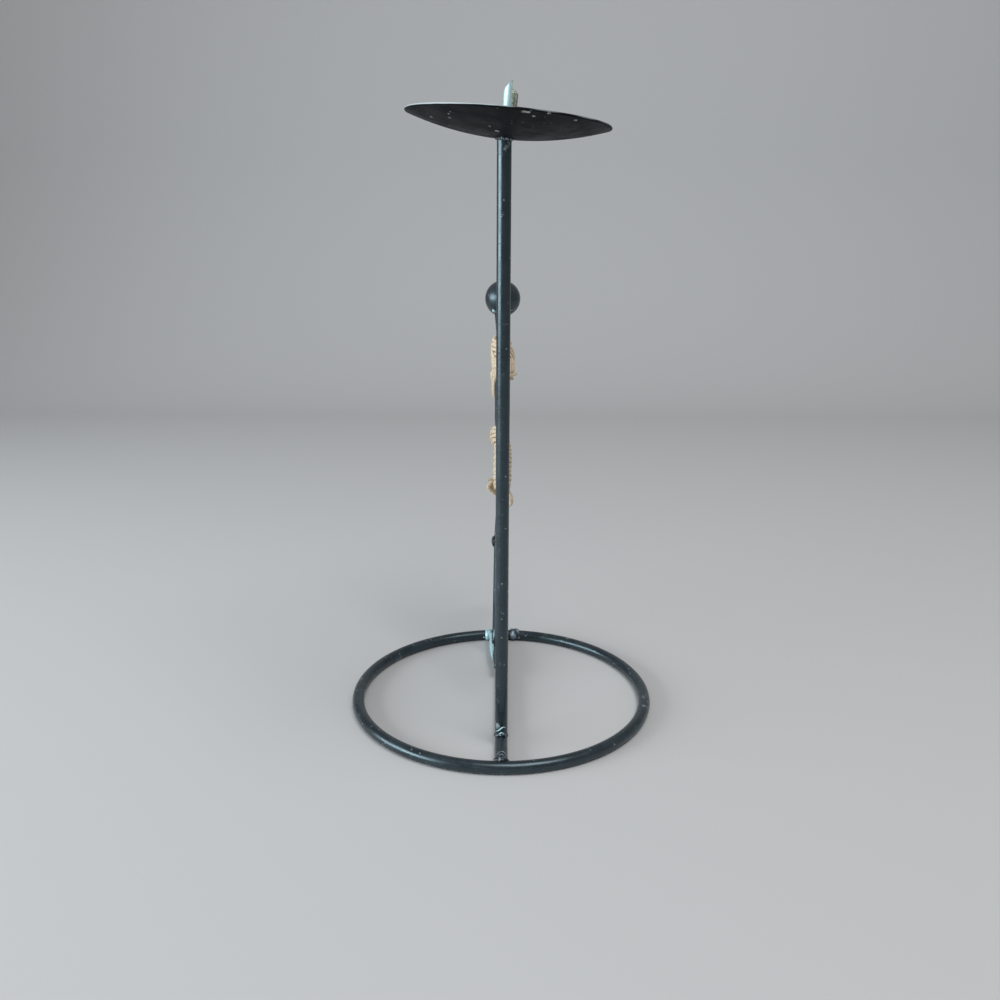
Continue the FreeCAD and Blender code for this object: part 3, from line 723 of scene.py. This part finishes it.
def loose(parts, count, seed, reach):
    # fine fibres that stand off the strands: each leaves the surface, leans along it and curls,
    # sags a little and gets thinner
    rng = np.random.default_rng(seed)
    share = np.linspace(0, 1, 5)[:, None]
    thick = 0.04 * (1.05 - 0.8 * share)
    hairs = []
    for index in rng.integers(0, len(parts), count):
        surface = parts[index][0]
        row, col = rng.integers(2, len(surface) - 2), rng.integers(0, surface.shape[1])
        root, middle = surface[row, col], surface[row].mean(axis=0)
        away, along = unit(root - middle), unit(surface[row + 1, col] - surface[row - 1, col])
        stray = rng.uniform(0.35, 1.0), rng.uniform(-1, 1), rng.normal(size=3) * 0.3
        heading = unit(away * stray[0] + along * stray[1] + stray[2])
        curl = unit(rng.normal(size=3)) * rng.uniform(0.1, 0.55) + (0, 0, -0.15)
        path = root + rng.uniform(*reach) * (share * heading + share ** 2 * curl)
        aside = unit(np.cross(heading, [0.3, 0.5, 0.81]) + 1e-3)
        tube, fibre, crest = sweep(path, aside, thick, sides=3)
        hairs.append((tube, fibre, np.ones_like(crest)))
    return hairs


def cordPiece(name, strands, replaced, hairs, seed, reach=(0.7, 2.2)):
    surfaces, fibres, crests = zip(*strands, *loose(strands, hairs, seed, reach))
    return buildPiece(name, surfaces, cordMaterial, replaced,
                      marks={"fibre": fibres, "crest": crests})


# Chest: turns round the two body rods, steep strands over them, and a tie under them
backLine = dict(z=(116.0, 138.48, 150.91), y=(50.0, 49.02, 57.41))
chestShape = dict(depth=1.06, slant=0.3, waist=137, fade=12)


def chestPlace(height, degrees, reach):
    # a place round the back: zero degrees is to the right and ninety to the back
    angle, height, reach = np.broadcast_arrays(np.radians(degrees), height, reach)
    middle = np.interp(height, backLine["z"], backLine["y"])
    # above the waist the binding stands higher on the left than on the right
    above = np.clip((height - chestShape["waist"]) / chestShape["fade"], 0, 1)
    height = height - chestShape["slant"] * reach * np.cos(angle) * above
    return np.stack([reach * np.cos(angle), middle + reach * chestShape["depth"] * np.sin(angle),
                     height], axis=-1)


def outFromBack(path, heights):
    # the way out from the back's middle line, which is taken at the given heights
    middle = np.stack([np.zeros_like(heights), np.interp(heights, backLine["z"], backLine["y"]),
                       heights], axis=-1)
    return unit(path - middle)


def chestStrand(heights, degrees, reaches, radius, seed, **shape):
    path = throughPoints(chestPlace(heights, degrees, reaches), 70)
    return plied(path, outFromBack(path, path[:, 2]), radius, seed, **shape)


chest = dict(
    top=150.6, pitch=1.66, turns=9.3, start=20, rows=780, reach=4.3, flatRight=0.4, wander=0.1,
    radius=0.9, seed=50)
turnShare = np.linspace(0, chest["turns"], chest["rows"])
chestDegrees = turnShare * 360 + chest["start"]
chestHeights = chest["top"] - chest["pitch"] * turnShare + chest["wander"] * np.sin(turnShare * 5.1)
rightward = np.maximum(np.cos(np.radians(chestDegrees)), 0)
chestReach = chest["reach"] - chest["flatRight"] * rightward
chestReach = chestReach + chest["wander"] * np.sin(turnShare * 8.3)
chestTurns = chestPlace(chestHeights, chestDegrees, chestReach)
chestParts = [plied(
    chestTurns, outFromBack(chestTurns, chestHeights), chest["radius"], chest["seed"], flat=0.72)]

# steep strands in two groups, one over each side
steep = dict(
    below=0.3, drop=11.8, spacing=0.25, sweep=112, root=3.9, radius=0.6, groups=(
        dict(starts=(-112, -92, -71, -50), reach=5.15, seed=60),
        dict(starts=(64, 79, 94, 109, 124, 139), reach=4.98, seed=70)))
steepShare = np.linspace(0, 1, 7)
tucked = np.sin(np.pi * np.clip(steepShare, 0.06, 0.94)) ** 0.5
for group in steep["groups"]:
    reaches = steep["root"] + (group["reach"] - steep["root"]) * tucked
    for index, start in enumerate(group["starts"]):
        heights = chest["top"] - steep["below"] - steep["drop"] * steepShare + steep["spacing"] * index
        chestParts.append(chestStrand(
            heights, start + steep["sweep"] * steepShare, reaches, steep["radius"],
            group["seed"] + index, lay=3.6, flat=0.85))

# two turns that hold them down at the waist
waist = dict(
    top=141.9, drop=2.1, pitch=1.15, start=-96, sweep=372, reach=4.15, bulge=0.25, radius=0.56, seed=80)
waistShare = np.linspace(0, 1, 26)
waistDegrees = waist["start"] + waist["sweep"] * waistShare
waistReaches = waist["reach"] + waist["bulge"] * np.cos(np.radians(waistDegrees))
for index in range(2):
    heights = waist["top"] - waist["drop"] * waistShare - waist["pitch"] * index
    chestParts.append(chestStrand(
        heights, waistDegrees, waistReaches, waist["radius"], waist["seed"] + index, lay=3.4, flat=0.8))

# fat, hardly twisted strands below the waist on the right, gathered by the tie
gathered = dict(
    places=(-48, -20, 8, 38), shifts=(-12, -4, 0, 2, 3, 5), radii=(1.0, 1.16),
    heights=(144.6, 143.2, 141.2, 138.8, 136.7, 134.0), reaches=(3.5, 4.6, 4.9, 4.7, 4.0, 4.2), seed=90)
for index, place in enumerate(gathered["places"]):
    degrees = [place + shift for shift in gathered["shifts"]]
    chestParts.append(chestStrand(
        gathered["heights"], degrees, gathered["reaches"], gathered["radii"][index % 2],
        gathered["seed"] + index, ply=0.06, lay=16, flat=0.85))
cordPiece("chestBinding", chestParts, ["chest_cord"], hairs=260, seed=7)

# the tie goes nearly twice round and ends in a short tail at the right
tie = dict(
    top=137.2, drop=1.2, start=-30, sweep=700, reach=5.28, bulge=0.16, rows=260, radius=0.6, seed=100,
    tail=[(5.9, 47.3, 136.7), (6.2, 46.6, 136.8)])
tieShare = np.linspace(0, 1, 40)
tieDegrees = tie["start"] + tie["sweep"] * tieShare
tieReaches = tie["reach"] + tie["bulge"] * np.cos(np.radians(tieDegrees))
tieStops = chestPlace(tie["top"] - tie["drop"] * tieShare, tieDegrees, tieReaches)
tiePath = throughPoints(np.concatenate([tieStops, tie["tail"]]), tie["rows"])
tieOut = outFromBack(tiePath, tiePath[:, 2])
tieParts = [plied(tiePath, tieOut, tie["radius"], tie["seed"], lay=3.2, flat=0.85)]
cordPiece("chestTie", tieParts, ["chest_tie"], hairs=30, seed=8)

# Loose ends: they swell out over the tie on the left and sweep down to the back in a brush
brush = dict(
    root=np.array([-1.2, 56.0, 128.9]), tip=np.array([-0.7, 76.4, 116.4]), rootRadius=4.0, tipRadius=1.7,
    strands=36, rows=64, arch=1.1, stray=0.28, startZ=139.2, swellZ=135.6, seed=110, strandSeed=120)
# in radians: the strands' places fill the brush evenly
goldenAngle = 2.39996
rng = np.random.default_rng(brush["seed"])
brushParts = []
axis = unit(brush["tip"] - brush["root"])
upward = unit(np.cross((1.0, 0, 0), axis))
strandWidths = widthsAlong(brush["rows"], (0, 0.3, 0.9, 1), (0.78, 0.86, 0.52, 0.34))
for index in range(brush["strands"]):
    spot = math.sqrt((index + 0.5) / brush["strands"])
    around = index * goldenAngle
    side, lift = spot * math.cos(around), spot * math.sin(around)
    # strands of the upper half start over a wider part of the back than those under them
    degrees = 150 + 95 * -side * 0.9 if lift > 0 else 165 + 70 * -side
    start = chestPlace(brush["startZ"] + rng.uniform(-0.5, 0.6), degrees, 3.7)
    swell = chestPlace(brush["swellZ"] + rng.uniform(-0.6, 0.6), degrees + rng.uniform(-6, 6),
                       4.0 + 0.95 * spot)
    stops = [start, swell]
    for share in (0.16, 0.45, 0.75, 1.0):
        centre = brush["root"] * (1 - share) + brush["tip"] * share
        width = brush["rootRadius"] * (1 - share) + brush["tipRadius"] * share
        arch = (0, 0, brush["arch"] * math.sin(math.pi * share))
        stops.append(centre + (side * width, 0, 0) + upward * lift * width
                     + rng.normal(size=3) * brush["stray"] + arch)
    stops[-1] = stops[-1] + axis * rng.uniform(-2.6, 0.9)
    brushParts.append(plied(
        throughPoints(stops, brush["rows"]), (1.0, 0.02, 0.1), strandWidths,
        brush["strandSeed"] + index, ply=0.12, lay=7, sides=10))
cordPiece("chestBrush", brushParts, ["chest_brush"], hairs=220, seed=9, reach=(1.0, 3.2))
print("chest cord ready")


# Hips: loops that hold both legs, in a frame that leans with them. Levels run down its axis.
hipFrame = dict(y=50.0, z=116.0, lean=math.radians(19.5))
legLines = dict(
    frontLevel=(-51.3, -23.26, 0), front=(-12.4, -12.66, 0), rearLevel=(-54.7, -25.3, 0),
    rear=(20.75, 9.48, 0))
hipSides = dict(
    level=(-34.0, -29.0, -16.0, -13.5, -11.5, -8.0, -4.5), left=(3.45, 3.65, 3.35, 3.55, 4.55, 4.9, 4.5),
    right=(3.6, 4.1, 4.25, 3.9, 3.35, 3.2, 3.3))


def hipWorld(x, back, level):
    c, s = math.cos(hipFrame["lean"]), math.sin(hipFrame["lean"])
    return np.stack([x, hipFrame["y"] + back * c + level * s,
                     hipFrame["z"] + level * c - back * s], axis=-1)


def hipLoop(level, share, leftReach, rightReach):
    # a place on the loop round both legs, from a share of its length: up the right side, round
    # the rear leg, down the left side and round the front leg. Also the way out from the legs.
    front = np.interp(level, legLines["frontLevel"], legLines["front"])
    rear = np.interp(level, legLines["rearLevel"], legLines["rear"])
    half, middle = (leftReach + rightReach) / 2, (rightReach - leftReach) / 2
    run, bend = rear - front, np.pi * half
    way = (share % 1.0) * (2 * run + 2 * bend)
    turn = np.clip((way - run) / half, 0, np.pi) + np.clip((way - 2 * run - bend) / half, 0, np.pi)
    back = np.where(way < run, front + way, np.where(way < run + bend, rear, np.where(
        way < 2 * run + bend, rear - (way - run - bend), front)))
    x, y = middle + half * np.cos(turn), back + half * np.sin(turn)
    zero = 0 * turn
    out = hipWorld(np.cos(turn), np.sin(turn), zero) - hipWorld(zero, zero, zero)
    return hipWorld(x, y, level), unit(out)


def hipWinding(first, last, pitch, radius, inset, seed, rows, start, **shape):
    # turns from one level to another, set in from the sides on the left and on the right
    share = np.linspace(0, (first - last) / pitch, rows)
    level = first - pitch * share + 0.12 * np.sin(share * 4.7 + seed) + 0.06 * np.sin(share * 13.1)
    left = np.interp(level, hipSides["level"], hipSides["left"]) - inset[0]
    right = np.interp(level, hipSides["level"], hipSides["right"]) - inset[1]
    path, out = hipLoop(level, share + start, left + 0.1 * np.sin(share * 6.9 + seed),
                        right + 0.1 * np.sin(share * 7.7))
    return plied(path, out, radius, seed, **shape)


# the main winding, and a wider one that shows on the left and is buried on the right
hipParts = [
    hipWinding(first=-5.2, last=-33.3, pitch=1.96, radius=0.93, inset=(0.72, 0.72), seed=130,
               rows=2300, start=0.62, flat=0.86, lay=4.2),
    hipWinding(first=-15.0, last=-31.5, pitch=2.9, radius=0.85, inset=(0.3, 1.35), seed=140,
               rows=1000, start=0.15, flat=0.9, lay=4.0)]

# crossed strands that swell out at the top left
crossed = dict(
    strands=((-5.9, 0.75), (-7.2, 1.1), (-8.6, 1.2), (-10.0, 1.05), (-11.3, 0.6)), reach=3.5, more=0.35,
    front=-4.4, length=9.2, slant=1.5, wander=0.2, radius=0.8, seed=150)
share = np.linspace(0, 1, 60)
for index, (level, swell) in enumerate(crossed["strands"]):
    x = -(crossed["reach"] + (swell + crossed["more"]) * np.sin(np.pi * share) ** 0.8)
    slant = crossed["slant"] * (share - 0.5) * (-1) ** index
    path = hipWorld(x, crossed["front"] + crossed["length"] * share,
                    level + slant + crossed["wander"] * np.sin(9 * share))
    hipParts.append(plied(
        path, (-1.0, 0, 0.05), crossed["radius"], crossed["seed"] + index, lay=3.9, flat=0.9))
cordPiece("hipBinding", hipParts, ["hip_cord"], hairs=420, seed=17)

# Hem: a folded corner with a rolled edge on the left, and a leaf-shaped loose end on the right
fold = dict(
    rows=110, columns=9, sag=(0, -0.16, 0), thick=(0, 0.5, 0), fibre=(1.6, 1.0, 0.4), crest=0.42,
    curlRows=60, edge=[
        (-1.8, 41.2, 89.9), (-3.5, 40.4, 88.9), (-5.8, 39.8, 86.4), (-6.25, 39.6, 85.4),
        (-5.5, 39.6, 84.1), (-3.6, 40.0, 82.5), (-1.8, 40.9, 81.0)],
    inner=[(-1.5, 41.4, 89.1), (-1.4, 41.5, 86.6), (-1.3, 41.5, 83.7), (-1.2, 41.4, 81.7)], curl=[
        (-3.2, 40.2, 87.6), (-4.4, 40.0, 88.6), (-5.6, 39.9, 89.2), (-6.3, 39.9, 88.9),
        (-6.35, 39.9, 88.3)])
toFront = (0, -1.0, 0.1)
foldPath = throughPoints(fold["edge"], fold["rows"])
edgeWidths = widthsAlong(fold["rows"], (0, 0.5, 1), (0.72, 0.88, 0.6))
hemParts = [plied(foldPath, toFront, edgeWidths, 160, lay=3.4)]
innerEdge = throughPoints(fold["inner"], fold["rows"])
acrossShare = np.linspace(0, 1, fold["columns"])[None, :, None]
sheetFront = foldPath[:, None] * (1 - acrossShare) + innerEdge[:, None] * acrossShare
sheetFront = sheetFront + fold["sag"] * np.sin(np.pi * acrossShare)
sheet = np.concatenate([sheetFront, sheetFront[:, ::-1] + fold["thick"]], axis=1)
# the sheet takes one crest value, which sets how much painted groove shade it gets
hemParts.append((sheet, sheet * fold["fibre"], np.full(sheet.shape[:2], fold["crest"])))
curlWidths = widthsAlong(fold["curlRows"], (0, 1), (0.62, 0.22))
curlPath = throughPoints(fold["curl"], fold["curlRows"])
hemParts.append(plied(curlPath, toFront, curlWidths, 161, lay=2.5))
cordPiece("hemFold", hemParts, ["hem_flap"], hairs=40, seed=18)

# the leaf's three strands, each with a shift to the side, a depth and a width
leaf = dict(
    rows=70, rise=0.4, seed=170, strands=((0.0, 0.0, 1.15), (-0.75, 0.7, 0.95), (0.1, 1.2, 0.9)), stops=[
        (1.6, 44.0, 86.6), (2.2, 42.7, 84.2), (3.3, 42.0, 81.8), (4.0, 42.2, 80.0),
        (4.2, 42.6, 78.2), (3.9, 43.0, 76.4), (3.2, 43.4, 75.1)])
# a thin neck under the hem, then the leaf's own swell
leafWidths = widthsAlong(leaf["rows"], (0, 0.28, 0.38, 0.6, 0.8, 0.93, 1),
                         (0.4, 0.42, 0.62, 1.0, 0.92, 0.6, 0.2))
leafParts = []
for index, (offset, depth, width) in enumerate(leaf["strands"]):
    stops = [(x + offset, y + depth, z + leaf["rise"] * index) for x, y, z in leaf["stops"]]
    leafParts.append(plied(
        throughPoints(stops, leaf["rows"]), (0.2, -1.0, 0.1), width * leafWidths,
        leaf["seed"] + index, ply=0.07, lay=14, flat=0.8))
cordPiece("hemLeaf", leafParts, ["hem_end"], hairs=40, seed=19)
print("hip cord ready")


def finishScene():
    # camera at the photograph's place: level turn first, then a slight roll
    view = {"place": (-0.9, -363.7, 186.0), "pitch": 14.81, "roll": 0.256, "focal": 900.0}
    data = bpy.data.cameras.new("camera")
    data.sensor_width, data.lens = 36.0, 36.0 * view["focal"] / 1000
    camera = bpy.data.objects.new("camera", data)
    camera.matrix_world = (Matrix.Translation([v * mm for v in view["place"]])
                           @ Matrix.Rotation(math.radians(90 - view["pitch"]), 4, "X")
                           @ Matrix.Rotation(math.radians(view["roll"]), 4, "Z"))
    data.clip_start = 0.01
    scene.collection.objects.link(camera)
    scene.camera = camera

    # pale floor that curves up into the backdrop: level, a quarter turn, then upright
    front, bend, radius, top, half = -1.3, 0.75, 0.35, 1.9, 2.4
    arc = np.linspace(0, np.pi / 2, 24)
    profile = [(front, 0), *zip(bend + radius * np.sin(arc), radius * (1 - np.cos(arc))),
               (bend + radius, top)]
    points = [(x, y, z) for y, z in profile for x in (-half, half)]
    quads = [(first, first + 1, first + 3, first + 2) for first in range(0, len(points) - 2, 2)]
    mesh = bpy.data.meshes.new("paleSweep")
    mesh.from_pydata(points, [], quads)
    mesh.polygons.foreach_set("use_smooth", np.ones(len(quads), bool))
    floor = bpy.data.objects.new("paleSweep", mesh)
    scene.collection.objects.link(floor)
    paper = bpy.data.materials.new("palePaper")
    paper.use_nodes = True
    fill(paper.node_tree, paper.node_tree.nodes["Principled BSDF"],
         {"Base Color": (0.56, 0.565, 0.57, 1), "Roughness": 0.9})
    mesh.materials.append(paper)

    lamps = {
        "leftWindow": {"place": (-1.00, -0.36, 0.31), "aim": (0, 0, 0.13), "size": (0.95, 0.46),
                       "power": 5.3, "spread": 120, "colour": (0.88, 0.96, 1.0)},
        "softTop": {"place": (0.3, -0.5, 1.35), "aim": (0, 0, 0.1), "size": (0.8, 0.8),
                    "power": 10.0, "spread": 180, "colour": (1.0, 0.98, 0.96)}}
    for label, lamp in lamps.items():
        light = bpy.data.lights.new(label, "AREA")
        light.shape = "RECTANGLE"
        light.size, light.size_y = lamp["size"]
        light.energy, light.color = lamp["power"], lamp["colour"]
        light.spread = math.radians(lamp["spread"])
        holder = bpy.data.objects.new(label, light)
        toward = Matrix.Translation(lamp["place"])
        heading = Vector(lamp["aim"]) - Vector(lamp["place"])
        holder.matrix_world = toward @ heading.to_track_quat("-Z", "Y").to_matrix().to_4x4()
        scene.collection.objects.link(holder)
    world = bpy.data.worlds.new("softRoom")
    world.use_nodes = True
    fill(world.node_tree, world.node_tree.nodes["Background"],
         {"Color": (0.9, 0.93, 0.96, 1), "Strength": 0.36})
    scene.world = world
    scene.view_settings.view_transform = "Standard"


finishScene()
print("scene ready")
